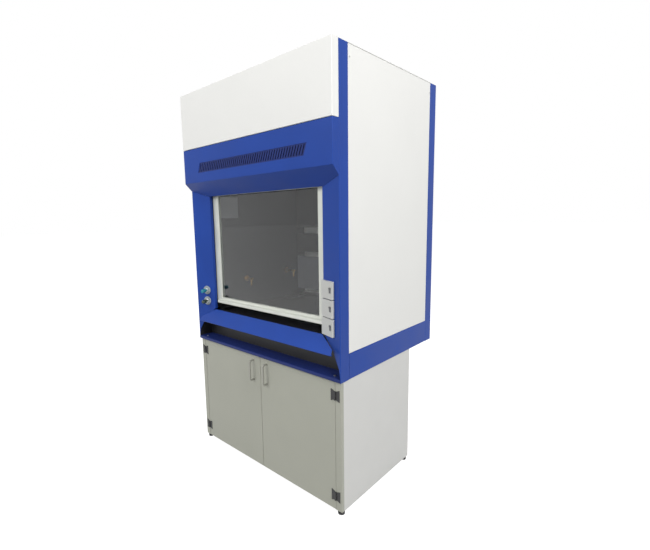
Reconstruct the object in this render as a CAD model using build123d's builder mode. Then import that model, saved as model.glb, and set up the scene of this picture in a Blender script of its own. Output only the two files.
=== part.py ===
from build123d import *
from math import atan2, degrees, hypot
import os

os.makedirs("parts", exist_ok=True)

# A ducted fume hood on a two-door base cabinet, in millimetres.
# Origin on the floor under the middle of the whole hood, front towards -Y, +Z up.
# Named y values are measured back from the plane of the front posts.

# Overall sizes
hood_width = 1200.0
hood_depth = 960.0
hood_height = 1563.0
hood_foot = 717.0
panel_proud = 46.0
sheet = 2.0
thin_sheet = 1.2
fold = 3.0
fit = 0.3
bend_gap = 1.2

half = hood_width / 2
front = -(hood_depth + panel_proud) / 2 + panel_proud
rear = front + hood_depth
hood_top = hood_foot + hood_height

# Corner posts and bottom rails
post_width = 72.0
post_flange = 25.0
post_lip = 40.0
rail_height = 132.0
rail_flange = 55.0
rail_top = hood_foot + rail_height
side_recess = 2.0
side_fold = 15.0

# Heights of the main levels, each measured from the one it stands on
worktop_rise = 198.0
sill_rise = 19.0
sill_fall = 64.0
ledge_height = 18.0
lintel_rise = 831.0
fascia_height = 203.0
ceiling_drop = 134.0
worktop_top = hood_foot + worktop_rise
sill_head = worktop_top + sill_rise
sill_foot = worktop_top - sill_fall
ledge_top = hood_foot + ledge_height
fascia_foot = worktop_top + lintel_rise
fascia_head = fascia_foot + fascia_height
liner_top = hood_top - ceiling_drop

# Picture frame round the sash opening; its foot steps in from the side and down from the worktop
bevel_width = 136.0
bevel_depth = 44.0
bevel_return = 20.0
bevel_hook = 16.0
bevel_gap = 4.0
bevel_foot_steps = [(55.0, 58.0), (12.0, 130.0)]
post_relief = 45.0
fascia_proud = 44.0
panel_gap = 2.0
lintel_lip = 40.0
bevel_foot_inner = sill_head + bevel_gap
opening_half = half - bevel_width
opening_head = fascia_foot - fascia_proud - bevel_depth

# Bypass grille in the fascia
grille_rise = 85.0
grille_height = 58.0
grille_inset = 27.0
grille_slant = 22.0
grille_margin = 12.0
slot_width = 6.0
slot_pitch = 18.0
slot_rows = 1
slot_gap = 4.0
grille_middle = fascia_foot + grille_rise
grille_length = 2 * (opening_half - grille_inset)

# Sill, ledge and recess below the opening
sill_back = 46.0
sill_front = -25.0
sill_end_gap = 18.0
sill_knee_inset = 48.0
sill_knee_y = -2.0
sill_foot_inset = 40.0
sill_hem = 22.0
sill_leg = 14.0
sill_bays = 4
sill_foot_width = 24.0
sill_toe = 14.0
ledge_depth = 108.0
recess_depth = 100.0
recess_front = 4.0
sill_head_half = opening_half - sill_end_gap
sill_foot_half = half - sill_foot_inset

# Chamber liner, baffles and exhaust
liner_gap = 16.0
liner_wall = 4.0
liner_front = 98.0
liner_top_front = 125.0
plenum_depth = 94.0
baffle_wall = 4.0
baffle_gap = 2.0
slot_rises = {"bottom": 40.0, "lower": 300.0, "upper": 480.0}
slot_lower_height = 35.0
slot_upper_height = 45.0
baffle_lean_height = 346.0
baffle_lean = 226.0
standoff_radius = 6.0
standoff_inset = 96.0
rear_panel_inset = 2.0
collar_setback = 165.0
collar_radius = 125.0
collar_step = 2.0
collar_wall = 1.5
collar_height = 100.0
collar_flange = 30.0
collar_dip = 2.0
lamp_y = 300.0
lamp_length = 620.0
lamp_width = 130.0
lamp_drop = 58.0
lamp_taper = 12.0
liner_half = opening_half + liner_gap
baffle_half = liner_half - baffle_gap
baffle_front = hood_depth - plenum_depth
baffle_knee = liner_top - baffle_lean_height
collar_y = hood_depth - collar_setback

# Worktop and cup sink
worktop_slab = 20.0
worktop_skirt = 20.0
worktop_gap = 28.0
worktop_front = 50.0
worktop_back_gap = 20.0
dish_depth = 6.0
dish_corner = 12.0
dish_inset = 12.0
dish_front = 112.0
dish_back_gap = 4.0
sink_inset = 88.0
sink_setback = 128.0
sink_length = 150.0
sink_width = 75.0
sink_depth = 110.0
sink_wall = 4.0
sink_corner = 20.0
sink_lip = 8.0
sink_lip_thick = 3.0
sink_tail_radius = 20.0
sink_tail_length = 60.0
worktop_half = half - worktop_gap
worktop_back = hood_depth - worktop_back_gap
dish_half = liner_half - dish_inset
dish_back = baffle_front - dish_back_gap
sink_x = -(liner_half - sink_inset)
sink_y = baffle_front - sink_setback

# Sash, its tracks and its counterbalance
sash_setback = 24.0
sash_thick = 24.0
sash_lap = 10.0
sash_foot_rise = 55.0
sash_head_lap = 46.0
stile = 61.0
sash_rail = 40.0
sash_bevel = 3.0
sash_skin = 9.0
pocket_edge = 4.0
glass_thick = 6.0
glass_lap = 8.0
glass_seat = 16.0
pull_drop = 14.0
pull_reach = 15.0
track_wall = 2.0
track_gap = 1.7
track_fold = 2.5
track_head_gap = 10.0
hanger_drop = 114.0
hanger_height = 12.0
hanger_width = 16.0
hanger_reach = 6.0
cable_radius = 2.0
cable_reach = 12.0
pulley_offset = 24.0
pulley_drop = 80.0
pulley_rim = 46.0
pulley_groove = 39.7
pulley_width = 10.0
axle_radius = 5.0
running = 0.1
bracket_gap = 1.0
bracket_width = 36.0
bracket_leg = 14.0
weight_width = 60.0
weight_depth = 40.0
weight_height = 418.0
weight_hang = 82.0
weight_corner = 4.0
weight_eye = 14.0
weight_eye_radius = 6.0
sash_half = opening_half + sash_lap
sash_foot = worktop_top + sash_foot_rise
sash_head = opening_head + sash_head_lap
hanger_top = sash_head - hanger_drop
track_head = hood_top - track_head_gap
pulley_x = sash_half + pulley_offset
pulley_z = hood_top - pulley_drop
weight_head = pulley_z - weight_hang

# Services on the bevels
valve_inset = 80.0
valve_rises = {"upper": 139.0, "lower": 68.0}
inlet_turns = {"upper": 1, "lower": -1}
escutcheon_radius = 28.0
escutcheon_thick = 6.0
escutcheon_edge = 2.0
valve_neck_radius = 9.0
valve_body_flat = 13.0
valve_body_length = 52.0
knob_gap = 1.0
knob_radius = 13.0
knob_length = 48.0
knob_skirt_radius = 9.0
knob_skirt_length = 13.3
knob_flutes = 6
knob_flute_radius = 3.6
knob_flute_offset = 14.6
knob_edge = 1.2
spindle_radius = 4.0
spindle_length = 16.0
spindle_end_gap = 1.0
inlet_radius = 7.5
inlet_length = 26.0
inlet_setback = 12.2
outlet_front = 337.0
outlet_rises = {"upper": 184.0, "lower": 200.0}
outlet_reach = {"upper": 62.0, "lower": 90.0}
outlet_flange_radius = 20.0
outlet_flange = 5.0
outlet_barrel_radius = 9.0
outlet_tail = 12.0
nozzle_setback = 12.0
nozzle_radius = 8.0
nozzle_drop = 22.0
hose_radius = 5.0
hose_length = 24.0
pipe_stub = 48.0
plate_inset = 89.5
plate_rise = 158.0
plate_pitch = 93.0
plate_width = 98.0
plate_height = 88.0
plate_thick = 12.0
plate_edge = 3.0
rocker_width = 16.0
rocker_height = 28.0
rocker_offset = 26.0
rocker_gap = 0.6
rocker_end_gap = 0.8
rocker_depth = 5.0
rocker_rim = 1.2
rocker_rise = 1.8
rocker_dip = 0.6
rocker_taper = 0.6
rocker_tilt = 8.0
valve_x = -(half - valve_inset)
plate_x = half - plate_inset
plate_middle = worktop_top + plate_rise
valve_heights = {name: worktop_top + rise for name, rise in valve_rises.items()}
outlet_heights = {name: worktop_top + rise for name, rise in outlet_rises.items()}
outlet_y = {"upper": outlet_front, "lower": sink_y}

# Base cabinet
cabinet_inset = 6.0
cabinet_front = 14.0
cabinet_depth = 680.0
cabinet_foot = 20.0
board = 18.0
back_board = 12.0
frame_stile = 37.0
frame_edge = 1.5
door_gap = 2.0
frame_head = 4.0
door_thick = 18.0
foot_radius = 18.0
foot_inset = 20.0
foot_thick = 12.0
foot_stem = 8.0
hinge_rise = 78.0
hinge_drop = 76.0
hinge_height = 62.0
leaf_width = 27.0
leaf_thick = 2.5
knuckle_radius = 5.0
hinge_pin_radius = 2.0
knuckle_gap = 0.4
knuckle_height = 15.0
handle_x = 58.0
handle_drop = 35.0
handle_length = 120.0
handle_reach = 32.0
handle_width = 10.0
handle_thick = 7.0
handle_bend = 14.0
cabinet_half = half - cabinet_inset
hinge_heights = (cabinet_foot + hinge_rise, hood_foot - hinge_drop)
handle_head = hood_foot - handle_drop
handle_foot = handle_head - handle_length

# Screws, bolts and the access cover
screw_radius = 4.0
screw_head = 1.6
side_screw_inset = 13.0
side_screw_drop = 58.0
ledge_bolt_inset = 55.0
ledge_bolt_y = 28.0
ledge_bolt_radius = 7.0
ledge_bolt_height = 4.0
cover_y = 207.0
cover_rise = 678.0
cover_length = 148.0
cover_height = 138.0
side_screw_y = (post_width + side_screw_inset, hood_depth - post_width - side_screw_inset)
side_screw_z = hood_top - side_screw_drop

# Derived positions shared by several pieces
sash_front = bevel_depth + sash_setback
sash_back = sash_front + sash_thick
cable_y = sash_back + cable_reach
cable_run = pulley_groove + cable_radius + fit
liner_outer = liner_half + liner_wall
recess_back = recess_depth + sheet
rear_face = hood_depth - rear_panel_inset
bevel_length = hypot(bevel_width, bevel_depth)
sill_bay = 2 * sill_head_half / sill_bays
door_edge = cabinet_half - frame_stile - door_gap
hinge_axis_x = door_edge + door_gap / 2
hinge_axis_y = cabinet_front - knuckle_radius


def level(z):
    return Plane.XY.offset(z)


def upright(y):
    return Plane.XZ.offset(-(front + y))


def crosswise(x):
    return Plane.YZ.offset(x)


def deep(y):
    return front + y


def span(u0, v0, u1, v1, mode=Mode.ADD):
    with Locations(((u0 + u1) / 2, (v0 + v1) / 2)):
        Rectangle(abs(u1 - u0), abs(v1 - v0), mode=mode)


def folded(points, wall=sheet, radius=fold, side=Side.RIGHT):
    with BuildLine() as path:
        FilletPolyline(*points, radius=radius)
        offset(amount=wall, side=side)
    make_face(path.edges())


def polygon(points):
    with BuildLine() as border:
        Polyline(*points, close=True)
    make_face(border.edges())


def keep(piece, name):
    piece.part.label = name
    export_step(piece.part, f"parts/{name}.step")


def keep_pair(piece, name):
    keep(piece, f"{name}_right")
    with BuildPart() as other:
        add(piece.part)
        mirror(about=Plane.YZ, mode=Mode.REPLACE)
    keep(other, f"{name}_left")


def both_sides(piece):
    with BuildPart() as pair:
        add(piece.part)
        mirror(about=Plane.YZ)
    return pair


def bevel_point(along, out, z, hand=1):
    """Point on a side bevel: along it from the outer edge, out in front of its face."""
    dx, dy = bevel_width / bevel_length, bevel_depth / bevel_length
    x = half - along * dx - out * dy
    y = along * dy - out * dx
    return Vector(hand * x, deep(y), z)


def bevel_plane(x, z, hand, out=0.0):
    """Plane on a side bevel through the given x, facing the user, its own Y up."""
    along = (half - abs(x)) * bevel_length / bevel_width
    normal = Vector(-hand * bevel_depth, -bevel_width, 0).normalized()
    across = Vector(0, 0, 1).cross(normal)
    return Plane(origin=bevel_point(along, out, z, hand), x_dir=across, z_dir=normal)


# Front post: a C section whose front flange slopes in as the side of the picture frame
def front_post(hand):
    slope_start = fascia_foot - fascia_proud
    with BuildPart() as post:
        with BuildSketch(level(hood_foot)):
            folded([(half - post_flange, deep(post_width)), (half, deep(post_width)), (half, deep(0)),
                    (opening_half, deep(bevel_depth)), (opening_half, deep(bevel_depth + bevel_return)),
                    (opening_half + bevel_hook, deep(bevel_depth + bevel_return))])
        extrude(amount=hood_top - sheet - hood_foot)
        # mitre under the lintel
        with BuildSketch(crosswise(opening_half - 2 * fold)):
            polygon([(deep(-fold), slope_start + fold), (deep(bevel_depth - fit), opening_head + fit),
                     (deep(bevel_depth - fit), hood_top), (deep(-fold), hood_top)])
        extrude(amount=bevel_width + fold, mode=Mode.SUBTRACT)
        # diagonal foot beside the sill, its back flange cut away round the recess panel
        with BuildSketch(upright(bevel_depth + bevel_return + fold)):
            knees = [(half - inset, worktop_top - drop) for inset, drop in bevel_foot_steps]
            polygon([(opening_half - fold, bevel_foot_inner), *knees, (half - sheet, ledge_top + fit),
                     (half - sheet, hood_foot), (opening_half - fold, hood_foot)])
        extrude(amount=bevel_depth + bevel_return + 2 * fold, mode=Mode.SUBTRACT)
        with BuildSketch(upright(post_width + fold)):
            span(opening_half - fold, hood_foot, half - sheet, worktop_top - worktop_slab)
        extrude(amount=post_relief, mode=Mode.SUBTRACT)
        # plain front flange behind the fascia and the upper panel
        with BuildSketch(level(slope_start + fold)):
            span(half - post_lip, deep(0), half - sheet / 2, deep(sheet))
        extrude(amount=hood_top - sheet - slope_start - fold)
        if hand < 0:
            mirror(about=Plane.YZ, mode=Mode.REPLACE)
            for height in valve_heights.values():
                with Locations(bevel_plane(valve_x, height, -1, out=fold)):
                    Hole(valve_neck_radius + fit, depth=4 * fold)
    return post


keep(front_post(1), "front_post_right")
keep(front_post(-1), "front_post_left")

# Rear post
with BuildPart() as rear_post:
    with BuildSketch(level(hood_foot)):
        folded([(half - post_lip, deep(hood_depth)), (half, deep(hood_depth)),
                (half, deep(hood_depth - post_width)), (half - post_flange, deep(hood_depth - post_width))])
    extrude(amount=hood_top - sheet - hood_foot)
keep_pair(rear_post, "rear_post")

# Bottom rail along the side, a C section between the posts
with BuildPart() as side_rail:
    with BuildSketch(upright(post_width)):
        folded([(half - rail_flange, rail_top), (half, rail_top), (half, hood_foot),
                (half - rail_flange, hood_foot)])
    extrude(amount=-(hood_depth - 2 * post_width))
    # flanges notched for the ledge
    with BuildSketch(level(hood_foot)):
        span(half - rail_flange, deep(post_width), half - sheet, deep(ledge_depth + fit))
    extrude(amount=rail_height, mode=Mode.SUBTRACT)
keep_pair(side_rail, "side_rail")

# Side panel, a shallow tray set back behind the faces of the posts
with BuildPart() as side_panel:
    with BuildSketch(crosswise(half - side_recess)):
        span(deep(post_width + fit), rail_top + fit, deep(hood_depth - post_width - fit), hood_top - sheet)
    extrude(amount=-side_fold)
    fillet(side_panel.faces().sort_by(Axis.X)[-1].edges(), radius=2 * thin_sheet)
    inner = side_panel.faces().sort_by(Axis.X)[0]
    offset(amount=-thin_sheet, openings=inner)
keep_pair(side_panel, "side_panel")

# Rear panel with a hem at its foot
with BuildPart() as rear_panel:
    with BuildSketch(crosswise(-(half - sheet - bend_gap))):
        folded([(deep(rear_face), hood_top - sheet), (deep(rear_face), hood_foot),
                (deep(rear_face - post_lip), hood_foot)])
    extrude(amount=2 * (half - sheet - bend_gap))
keep(rear_panel, "rear_panel")

# Roof with the hole for the exhaust collar
with BuildPart() as roof_panel:
    with BuildSketch(level(hood_top - sheet)):
        span(-half, deep(0), half, deep(hood_depth))
        with Locations((0, deep(collar_y))):
            Circle(collar_radius + fit, mode=Mode.SUBTRACT)
    extrude(amount=sheet)
keep(roof_panel, "roof_panel")

# Exhaust collar: a spigot with a flange on the roof, stepped in below it to reach the plenum
with BuildPart() as exhaust_collar:
    neck = collar_radius - collar_step
    flange_edge = collar_radius + collar_flange
    with BuildSketch(Plane.XZ.offset(-deep(collar_y))):
        polygon([(neck - collar_wall, liner_top - collar_dip), (neck, liner_top - collar_dip), (neck, hood_top),
                 (flange_edge, hood_top), (flange_edge, hood_top + sheet), (collar_radius, hood_top + sheet),
                 (collar_radius, hood_top + collar_height),
                 (collar_radius - collar_wall, hood_top + collar_height),
                 (collar_radius - collar_wall, hood_top + sheet), (neck - collar_wall, hood_top)])
    revolve(axis=Axis((0, deep(collar_y), 0), (0, 0, 1)))
keep(exhaust_collar, "exhaust_collar")

# White access panel over the sash space, a tray open to the back
with BuildPart() as upper_panel:
    with BuildSketch(upright(0)):
        span(-half, fascia_head + panel_gap, half, hood_top)
    extrude(amount=panel_proud)
    fillet(upper_panel.faces().sort_by(Axis.Y)[0].edges(), radius=fold)
    back = upper_panel.faces().sort_by(Axis.Y)[-1]
    offset(amount=-sheet, openings=back)
keep(upper_panel, "upper_front_panel")


# Corners of the slanted grille opening, seen from the front
def grille_outline(grow):
    tall, long, lean = grille_height / 2 + grow, grille_length / 2 + grow, grille_slant / 2
    return [(-long - lean, grille_middle - tall), (long - lean, grille_middle - tall),
            (long + lean, grille_middle + tall), (-long + lean, grille_middle + tall)]


# Fascia: a tray whose foot folds back at 45 degrees as the lintel of the opening
with BuildPart() as fascia_tray:
    with BuildSketch(crosswise(-half)):
        polygon([(deep(0), fascia_head), (deep(-fascia_proud), fascia_head),
                 (deep(-fascia_proud), fascia_foot), (deep(0), fascia_foot - fascia_proud)])
    extrude(amount=hood_width)
    fillet(fascia_tray.faces().sort_by(Axis.Y)[0].edges(), radius=fold)
    offset(amount=-sheet, openings=fascia_tray.faces().sort_by(Axis.Y)[-1])
with BuildPart() as fascia:
    slope = [(-sheet / 2, fascia_foot - fascia_proud + sheet / 2), (bevel_depth, opening_head),
             (bevel_depth, opening_head + lintel_lip)]
    with BuildSketch(crosswise(-half)):
        folded([(deep(y), z) for y, z in slope], side=Side.LEFT)
    extrude(amount=hood_width)
    with BuildSketch(level(opening_head - fold)):
        for hand in (1, -1):
            inner, outer = hand * (opening_half - fit), hand * (half + fold)
            polygon([(inner, deep(bevel_depth + fold)), (inner, deep(bevel_depth)),
                     (hand * (half - sheet - fit), deep(-fit)), (outer, deep(-fit)),
                     (outer, deep(bevel_depth + fold))])
    extrude(amount=fascia_head - opening_head, mode=Mode.SUBTRACT)
    add(fascia_tray.part)
    with BuildSketch(upright(-fascia_proud - fold)):
        polygon(grille_outline(0))
    extrude(amount=-3 * fold, mode=Mode.SUBTRACT)
keep(fascia, "fascia")

# Bypass grille: a plate behind the slanted opening with a row of leaning slots
with BuildPart() as bypass_grille:
    with BuildSketch(upright(-fascia_proud + sheet)):
        polygon(grille_outline(grille_margin))
        slot_length = (grille_height - (slot_rows + 1) * slot_gap) / slot_rows
        lean = degrees(atan2(grille_slant, grille_height))
        slots = int((grille_length - 2 * slot_gap) // slot_pitch)
        for row in range(slot_rows):
            rise = (row - (slot_rows - 1) / 2) * (slot_length + slot_gap)
            with Locations((rise * grille_slant / grille_height, grille_middle + rise)):
                with GridLocations(slot_pitch, 1, slots, 1):
                    Rectangle(slot_width, slot_length, rotation=-lean, mode=Mode.SUBTRACT)
    extrude(amount=-sheet)
keep(bypass_grille, "bypass_grille")

# Sill: a sloping airfoil with mitred ends, standing on four feet
with BuildPart() as sill:
    with BuildSketch(crosswise(-half)):
        folded([(deep(sill_back), sill_head - sill_leg), (deep(sill_back), sill_head),
                (deep(sill_front), sill_foot), (deep(sill_front + sill_hem), sill_foot - sheet)], side=Side.LEFT)
    extrude(amount=hood_width)
    with BuildSketch(level(sill_foot - 4 * fold)):
        corners = [(sill_head_half, sill_back + fold), (sill_head_half, sill_back),
                   (half - sill_knee_inset, sill_knee_y), (sill_foot_half, sill_front),
                   (sill_foot_half, sill_front - fold)]
        polygon([(x, deep(y)) for x, y in corners] + [(-x, deep(y)) for x, y in reversed(corners)])
    extrude(amount=sill_head - sill_foot + 8 * fold, mode=Mode.INTERSECT)
    # feet on the worktop, cut from one strip
    toe = worktop_front + sill_toe
    with BuildSketch(crosswise(-sill_head_half + 2 * fold)):
        polygon([(deep(sill_back - sheet / 2), sill_head - sill_leg),
                 (deep(sill_back - sheet / 2), sill_head - 2 * fold), (deep(toe), worktop_top + sheet),
                 (deep(toe), worktop_top), (deep(worktop_front + sheet / 2), worktop_top)])
    extrude(amount=2 * (sill_head_half - 2 * fold))
    with BuildSketch(upright(toe + fold)):
        with Locations((0, worktop_top + 2 * fold)):
            with GridLocations(sill_bay, 1, sill_bays, 1):
                Rectangle(sill_bay - sill_foot_width, 4 * fold)
    extrude(amount=toe + fold - sill_back, mode=Mode.SUBTRACT)
keep(sill, "sill")

# Ledge: the front rail of the base, its top the floor of the recess
with BuildPart() as ledge:
    with BuildSketch(crosswise(-(half - sheet - fit))):
        folded([(deep(3 * sheet + fold), hood_foot), (deep(0), hood_foot), (deep(0), ledge_top),
                (deep(ledge_depth), ledge_top), (deep(ledge_depth), hood_foot)])
    extrude(amount=2 * (half - sheet - fit))
keep(ledge, "ledge")

# Recess panel: a black U behind the sill, from the ledge to the worktop
with BuildPart() as recess_panel:
    edge = half - sheet - fit
    with BuildSketch(level(ledge_top)):
        folded([(edge, deep(recess_front)), (edge, deep(recess_back)), (-edge, deep(recess_back)),
                (-edge, deep(recess_front))], side=Side.LEFT)
    extrude(amount=worktop_top - worktop_slab - ledge_top)
    # only the two ears beside the sill rise past the rails
    with BuildSketch(level(rail_top)):
        span(-half, deep(post_width - sheet), half, deep(recess_back + 1))
    extrude(amount=worktop_top - rail_top, mode=Mode.SUBTRACT)
keep(recess_panel, "recess_panel")

# Worktop: a dished slab whose skirt rests on the side rails behind the recess
with BuildPart() as worktop:
    with BuildSketch(level(worktop_top - worktop_slab)):
        span(-worktop_half, deep(worktop_front), worktop_half, deep(worktop_back))
    extrude(amount=worktop_slab)
    with BuildSketch(level(rail_top)):
        span(-worktop_half, deep(recess_back + fit), worktop_half, deep(worktop_back))
        span(-worktop_half + worktop_skirt, deep(recess_back + fit + worktop_skirt),
             worktop_half - worktop_skirt, deep(worktop_back - worktop_skirt), mode=Mode.SUBTRACT)
    extrude(amount=worktop_top - worktop_slab - rail_top)
    with BuildSketch(level(worktop_top - dish_depth)):
        with Locations((0, deep((dish_front + dish_back) / 2))):
            RectangleRounded(2 * dish_half, dish_back - dish_front, dish_corner)
    extrude(amount=dish_depth, mode=Mode.SUBTRACT)
    with BuildSketch(level(worktop_top - worktop_slab)):
        with Locations((sink_x, deep(sink_y))):
            RectangleRounded(sink_width + 2 * fit, sink_length + 2 * fit, sink_corner)
    extrude(amount=worktop_slab, mode=Mode.SUBTRACT)
keep(worktop, "worktop")

# Cup sink with its lip on the dished top and a tail for the drain
with BuildPart() as cup_sink:
    lip_level = worktop_top - dish_depth
    with BuildSketch(level(lip_level - sink_depth)):
        with Locations((sink_x, deep(sink_y))):
            RectangleRounded(sink_width, sink_length, sink_corner - fit)
    extrude(amount=sink_depth)
    with BuildSketch(level(lip_level)):
        with Locations((sink_x, deep(sink_y))):
            RectangleRounded(sink_width + 2 * sink_lip, sink_length + 2 * sink_lip, sink_corner + sink_lip)
    extrude(amount=sink_lip_thick)
    with BuildSketch(level(lip_level - sink_depth + sink_wall)):
        with Locations((sink_x, deep(sink_y))):
            RectangleRounded(sink_width - 2 * sink_wall, sink_length - 2 * sink_wall, sink_corner - sink_wall)
    extrude(amount=sink_depth + sink_lip_thick, mode=Mode.SUBTRACT)
    with BuildSketch(level(lip_level - sink_depth)):
        with Locations((sink_x, deep(sink_y))):
            Circle(sink_tail_radius)
    extrude(amount=-sink_tail_length)
    with BuildSketch(level(lip_level - sink_depth - sink_tail_length)):
        with Locations((sink_x, deep(sink_y))):
            Circle(sink_tail_radius - sink_wall)
    extrude(amount=sink_tail_length + sink_wall, mode=Mode.SUBTRACT)
keep(cup_sink, "cup_sink")


# Side wall of the chamber; the left one is drilled for the service outlets
def liner(hand):
    with BuildPart() as wall:
        with BuildSketch(crosswise(liner_half)):
            span(deep(liner_front), worktop_top, deep(rear_face - sheet), liner_top)
        extrude(amount=liner_wall)
        if hand < 0:
            mirror(about=Plane.YZ, mode=Mode.REPLACE)
            for name in valve_heights:
                with BuildSketch(crosswise(-liner_outer)):
                    with Locations((deep(outlet_y[name]), outlet_heights[name])):
                        Circle(inlet_radius + fit)
                extrude(amount=liner_wall, mode=Mode.SUBTRACT)
    return wall


keep(liner(1), "liner_right")
keep(liner(-1), "liner_left")

# Ceiling of the chamber, with the collar's hole in the plenum
with BuildPart() as liner_ceiling:
    with BuildSketch(level(liner_top)):
        span(-liner_outer, deep(liner_top_front), liner_outer, deep(rear_face - sheet))
        with Locations((0, deep(collar_y))):
            Circle(collar_radius + fit, mode=Mode.SUBTRACT)
    extrude(amount=liner_wall)
keep(liner_ceiling, "liner_ceiling")


# A baffle sheet on standoffs from the rear panel
def baffle(low, high, name):
    with BuildPart() as sheet_part:
        with BuildSketch(upright(baffle_front)):
            span(-baffle_half, low, baffle_half, high)
        extrude(amount=-baffle_wall)
        with BuildSketch(upright(baffle_front + baffle_wall)):
            with Locations((0, (low + high) / 2)):
                with GridLocations(2 * (baffle_half - standoff_inset), (high - low) * 0.6, 2, 2):
                    RegularPolygon(standoff_radius, 6)
        extrude(amount=-(rear_face - sheet - baffle_front - baffle_wall))
        if high == baffle_knee:
            # the top leans forward to the ceiling
            with BuildSketch(crosswise(-baffle_half)):
                polygon([(deep(baffle_front), high), (deep(baffle_front + baffle_wall), high),
                         (deep(baffle_front - baffle_lean + baffle_wall), liner_top - fit),
                         (deep(baffle_front - baffle_lean), liner_top - fit)])
            extrude(amount=2 * baffle_half)
    keep(sheet_part, name)


slots_z = {name: worktop_top + rise for name, rise in slot_rises.items()}
baffle(slots_z["bottom"], slots_z["lower"], "baffle_lower")
baffle(slots_z["lower"] + slot_lower_height, slots_z["upper"], "baffle_middle")
baffle(slots_z["upper"] + slot_upper_height, baffle_knee, "baffle_upper")

# Lamp housing on the ceiling, tapering to its open mouth
with BuildPart() as lamp_housing:
    with BuildSketch(level(liner_top)):
        with Locations((0, deep(lamp_y))):
            Rectangle(lamp_length, lamp_width)
    extrude(amount=-lamp_drop, taper=lamp_taper)
    lens_face = lamp_housing.faces().sort_by(Axis.Z)[0]
    offset(amount=-sheet, openings=lens_face)
keep(lamp_housing, "lamp_housing")

# Sash tracks, one channel each side
with BuildPart() as track:
    track_front = bevel_depth + bevel_return + fit
    track_web = sash_half + track_gap + track_wall
    with BuildSketch(level(bevel_foot_inner)):
        track_back = sash_back + track_gap + track_wall
        folded([(opening_half, deep(track_front)), (track_web, deep(track_front)), (track_web, deep(track_back)),
                (opening_half, deep(track_back))], side=Side.LEFT, wall=track_wall, radius=track_fold)
    extrude(amount=track_head - bevel_foot_inner)
keep(both_sides(track), "sash_tracks")

# Sash frame: two stiles and two rails, pocketed at the back, with a finger pull and two hanger lugs
with BuildPart() as sash_frame:
    middle_z = (sash_foot + sash_head) / 2
    glass_y = sash_front + (sash_thick - glass_thick) / 2
    with BuildSketch(upright(sash_back)):
        span(-sash_half, sash_foot, sash_half, sash_head)
        span_low, span_high = sash_foot + sash_rail, sash_head - sash_rail
        with Locations((0, (span_low + span_high) / 2)):
            Rectangle(2 * (sash_half - stile), span_high - span_low, mode=Mode.SUBTRACT)
    extrude(amount=sash_thick)
    chamfer(sash_frame.faces().sort_by(Axis.Y)[0].inner_wires()[0].edges(), length=sash_bevel)
    # hollow back between the outer edge and the glazing seat
    with BuildSketch(upright(sash_back)):
        with Locations((0, middle_z)):
            Rectangle(2 * (sash_half - pocket_edge), sash_head - sash_foot - 2 * pocket_edge)
            Rectangle(2 * (sash_half - stile + glass_seat), sash_head - sash_foot - 2 * (sash_rail - glass_seat),
                      mode=Mode.SUBTRACT)
    extrude(amount=sash_thick - sash_skin, mode=Mode.SUBTRACT)
    # glazing groove
    groove_lap = glass_lap + fit
    with BuildSketch(upright(glass_y + glass_thick + fit)):
        with Locations((0, middle_z)):
            Rectangle(2 * (sash_half - stile + groove_lap), sash_head - sash_foot - 2 * (sash_rail - groove_lap))
    extrude(amount=glass_thick + 2 * fit, mode=Mode.SUBTRACT)
    # finger pull along the bottom rail
    with BuildSketch(crosswise(-sash_half + stile / 2)):
        folded([(deep(sash_front + sheet / 2), sash_foot + 2 * pull_drop),
                (deep(sash_front - pull_reach), sash_foot + 1.5 * pull_drop),
                (deep(sash_front - pull_reach), sash_foot + 0.5 * pull_drop)], side=Side.LEFT)
    extrude(amount=2 * sash_half - stile)
    # hanger lugs
    with BuildSketch(upright(cable_y + hanger_reach)):
        with Locations((pulley_x - cable_run, hanger_top - hanger_height / 2),
                       (-pulley_x + cable_run, hanger_top - hanger_height / 2)):
            Rectangle(hanger_width, hanger_height)
    extrude(amount=cable_y + hanger_reach - sash_front - sash_skin + fit)
keep(sash_frame, "sash_frame")

# Sash glass in its groove
with BuildPart() as sash_glass:
    with BuildSketch(upright(glass_y + glass_thick)):
        with Locations((0, middle_z)):
            Rectangle(2 * (sash_half - stile + glass_lap), sash_head - sash_foot - 2 * (sash_rail - glass_lap))
    extrude(amount=glass_thick)
keep(sash_glass, "sash_glass")

# Counterbalance: a grooved pulley above each stile, cable to the sash one side and to a weight the other
with BuildPart() as pulley:
    axle_plane = Plane(origin=(pulley_x, deep(cable_y), pulley_z), x_dir=(1, 0, 0), z_dir=(0, -1, 0))
    with BuildSketch(Plane(origin=axle_plane.origin, x_dir=(0, -1, 0), z_dir=(1, 0, 0))):
        edge, throat = pulley_width / 2, cable_radius + fit
        bore = axle_radius + running
        polygon([(-edge, bore), (-edge, pulley_rim), (-throat, pulley_groove), (throat, pulley_groove),
                 (edge, pulley_rim), (edge, bore)])
    revolve(axis=Axis(axle_plane.origin, (0, 1, 0)))
keep_pair(pulley, "pulley")

# Pulley bracket: an inverted U under the roof with the axle across it
with BuildPart() as bracket:
    cheek = pulley_width / 2 + bracket_gap
    foot = pulley_z - bracket_leg
    with BuildSketch(crosswise(pulley_x - bracket_width / 2)):
        span(deep(cable_y - cheek - sheet), foot, deep(cable_y + cheek + sheet), hood_top - sheet)
        span(deep(cable_y - cheek), foot, deep(cable_y + cheek), hood_top - 2 * sheet, mode=Mode.SUBTRACT)
    extrude(amount=bracket_width)
    with BuildSketch(axle_plane.offset(cheek + sheet)):
        Circle(axle_radius)
    extrude(amount=-2 * (cheek + sheet))
keep(both_sides(bracket), "pulley_brackets")

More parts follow.
